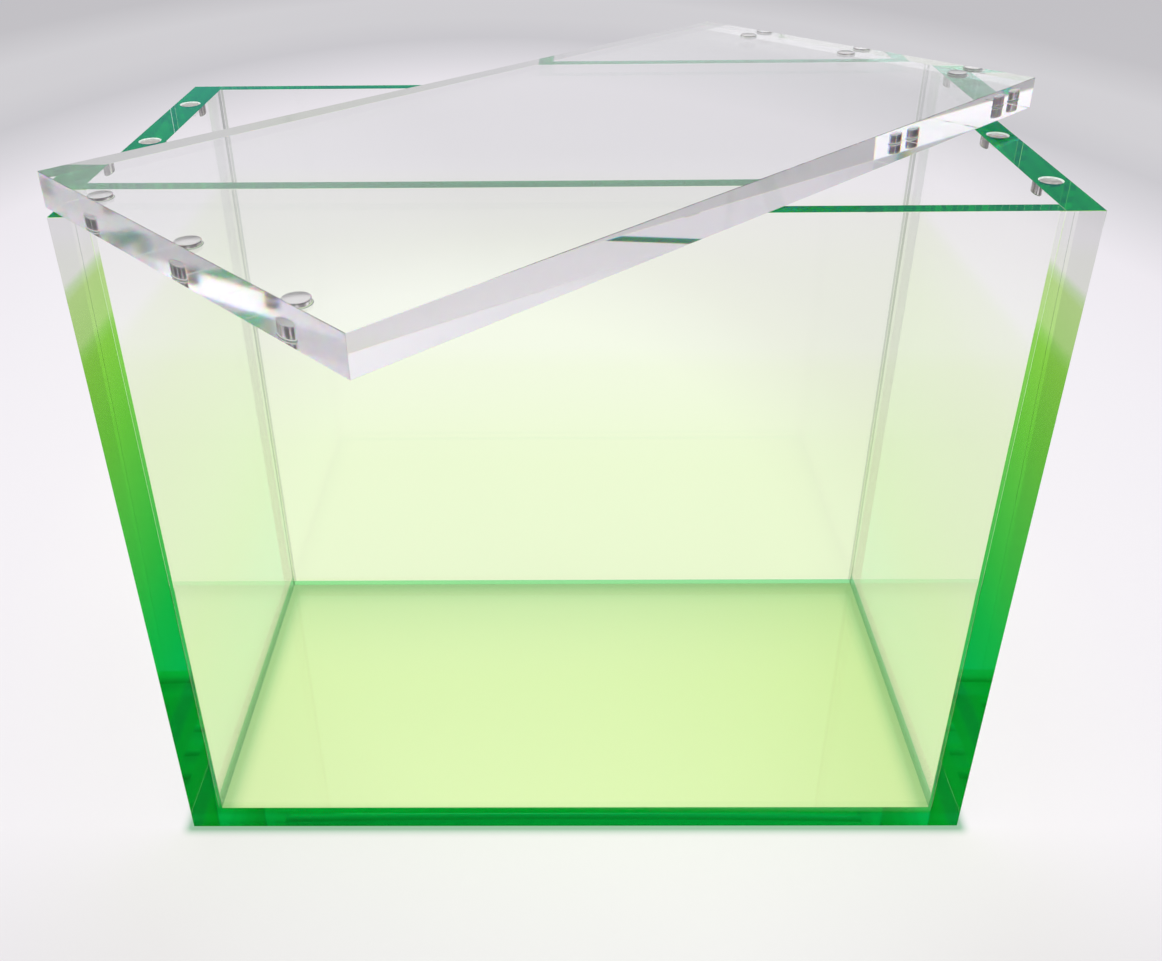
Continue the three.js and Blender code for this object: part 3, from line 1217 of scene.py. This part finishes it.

# %% [markdown]
# ## Table top
#
# The table is one flat sheet, a hair below the base, so that the two never share a plane.
# The light round the foot is stored on its points, so it needs many points at the foot and few elsewhere.
# A Subdivide modifier would refine it all, so the grid lines are set one by one: fine at the foot, then
# ever wider apart.

# %% Table top with its stored light
TABLE_REACH = 6.0
AIR_UNDER_BASE = 0.1 * MM
PATCH_HALF = (0.20, 0.14)
COARSE_STEP = 2 * MM
FINE_STEP = 0.4 * MM
FINE_REACH = 6 * MM
STEP_GROWTH = 1.2
LINE_DIGITS = 6


def evenly(start, step, end):
    return {round(start + step * index, LINE_DIGITS) for index in range(round((end - start) / step) + 1)}


def grid_lines(half, edge):
    """Places of the grid lines: fine near the foot of the tub, coarse round it, then ever wider apart."""
    places = evenly(-half, COARSE_STEP, half)
    for side in (-edge, edge):
        places |= evenly(side - FINE_REACH, FINE_STEP, side + FINE_REACH)
    step = COARSE_STEP
    while half < TABLE_REACH:
        step *= STEP_GROWTH
        half = min(half + step, TABLE_REACH)
        places |= {-half, half}
    return sorted(places)


def table_top():
    across = grid_lines(PATCH_HALF[0], half_width)
    along = grid_lines(PATCH_HALF[1], half_depth)
    row = len(across)
    verts = [(x, y, -AIR_UNDER_BASE) for y in along for x in across]
    corners = [j * row + i for j in range(len(along) - 1) for i in range(row - 1)]
    mesh = bpy.data.meshes.new("table_top")
    mesh.from_pydata(verts, [], [(at, at + 1, at + row + 1, at + row) for at in corners])
    light = mesh.attributes.new("foot_light", "FLOAT_COLOR", "POINT")
    for value, (x, y, _) in zip(light.data, verts):
        value.color = (*foot_light(x, y), 1)
    mesh.materials.append(paper)
    return add_object("table_top", mesh)


table = table_top()
print("table top:", len(table.data.polygons), "faces")

# %% [markdown]
# ## Sky
#
# Acrylic shows what surrounds it, so a plain white world would leave the case without shape. The room of
# the picture is a soft one: paler overhead, greyer at eye level, with windows that shine in the lid.
# A photographed sky would be an image file, so two ramps and three round windows are drawn by nodes.

# %% A soft sky with three windows
SKY_BY_HEIGHT = [
    (0.0, (0.58, 0.57, 0.59)),
    (0.12, (0.66, 0.65, 0.67)),
    (0.20, (0.83, 0.82, 0.84)),
    (0.225, (0.73, 0.72, 0.74)),
    (0.255, (0.635, 0.625, 0.645)),
    (0.285, (0.58, 0.57, 0.59)),
    (0.315, (0.62, 0.61, 0.625)),
    (0.35, (0.69, 0.68, 0.69)),
    (0.40, (0.98, 0.965, 0.99)),
    (0.62, (0.90, 0.89, 0.91)),
    (1.0, (1.0, 1.0, 1.0)),
]
SIDES_BY_WIDTH = [
    (0.10, (1.0, 1.0, 1.0)),
    (0.20, (0.75, 0.75, 0.75)),
    (0.84, (0.75, 0.75, 0.75)),
    (0.90, (0.64, 0.63, 0.65)),
]
SKY_STRENGTH = 1.333
SMALL_WINDOW = {"way": (0.863, -0.319, 0.391), "outer": 3.2, "inner": 2.6, "light": 0.6}
BROAD_WINDOW = {"way": (-0.92, -0.28, 0.27), "outer": 24, "inner": 14, "light": 0.35}
BACK_WINDOW = {"way": (-0.32, 0.85, 0.42), "outer": 16, "inner": 8, "light": 0.1}


def window_light(tree, place, way, outer, inner, light):
    """light in a round window with a soft edge between two angles in degrees, 0 elsewhere."""
    near = add_node(tree, "ShaderNodeVectorMath", {
        0: place, 1: Vector(way).normalized()}, operation="DOT_PRODUCT")
    rim, core = (math.cos(math.radians(angle)) for angle in (outer, inner))
    return ranged(tree, near.outputs["Value"], rim, core, 0, light)


def soft_sky():
    world = bpy.data.worlds.new("soft_sky")
    world.use_nodes = True
    tree = world.node_tree
    tree.nodes.clear()
    place = add_node(tree, "ShaderNodeTexCoord").outputs["Generated"]
    split = add_node(tree, "ShaderNodeSeparateXYZ", {"Vector": place}).outputs
    by_height = colour_ramp(tree, split["Z"], SKY_BY_HEIGHT)
    by_width = colour_ramp(tree, ranged(tree, split["X"], low=-1), SIDES_BY_WIDTH)
    light = mixed(tree, 1, by_height, by_width, "MULTIPLY")
    for window in (SMALL_WINDOW, BROAD_WINDOW, BACK_WINDOW):
        light = mixed(tree, 1, light, window_light(tree, place, **window), "ADD")
    glow = add_node(tree, "ShaderNodeBackground", {"Color": light, "Strength": SKY_STRENGTH})
    add_node(tree, "ShaderNodeOutputWorld", {"Surface": glow.outputs["Background"]})
    return world


bpy.context.scene.world = soft_sky()
print("sky:", len(bpy.context.scene.world.node_tree.nodes), "nodes")

# %% [markdown]
# ## Lamp
#
# One large softbox above gives the soft shadow under the tub. A small lamp would draw hard lines,
# and a bright disc in every polished face, so this one is broad and is hidden from mirrors and acrylic.

# %% The softbox overhead
SOFTBOX_PLACE = Vector((0.1, -0.1, 1.1))
SOFTBOX_TARGET = Vector((0, 0, 0.1))
SOFTBOX_SIZE = 0.9
SOFTBOX_POWER = 7.0

softbox_data = bpy.data.lights.new("overhead_softbox", "AREA")
softbox_data.shape = "DISK"
softbox_data.size = SOFTBOX_SIZE
softbox_data.energy = SOFTBOX_POWER
softbox = bpy.data.objects.new("overhead_softbox", softbox_data)
softbox.location = SOFTBOX_PLACE
softbox.rotation_euler = (SOFTBOX_TARGET - SOFTBOX_PLACE).to_track_quat("-Z", "Y").to_euler()
softbox.visible_glossy = False
softbox.visible_transmission = False
bpy.context.scene.collection.objects.link(softbox)
print("softbox at", [round(value, 2) for value in SOFTBOX_PLACE])

# %% [markdown]
# ## How far light is followed
#
# Inside a panel a ray is mirrored dozens of times before it leaves, and each time it picks up dye.
# With Blender's usual twelve bounces those rays end black, so the limits are raised for clear pieces.
# Diffuse bounces stay few, since only the paper needs them. Colours are shown as they are written.

# %% Ray depth and colour view
CLEAR_BOUNCES = 64
PAPER_BOUNCES = 4
scene = bpy.context.scene
scene.view_settings.view_transform = "Standard"
scene.cycles.max_bounces = CLEAR_BOUNCES
scene.cycles.transmission_bounces = CLEAR_BOUNCES
scene.cycles.glossy_bounces = CLEAR_BOUNCES
scene.cycles.transparent_max_bounces = CLEAR_BOUNCES
scene.cycles.diffuse_bounces = PAPER_BOUNCES
print("light is followed through", scene.cycles.max_bounces, "bounces")
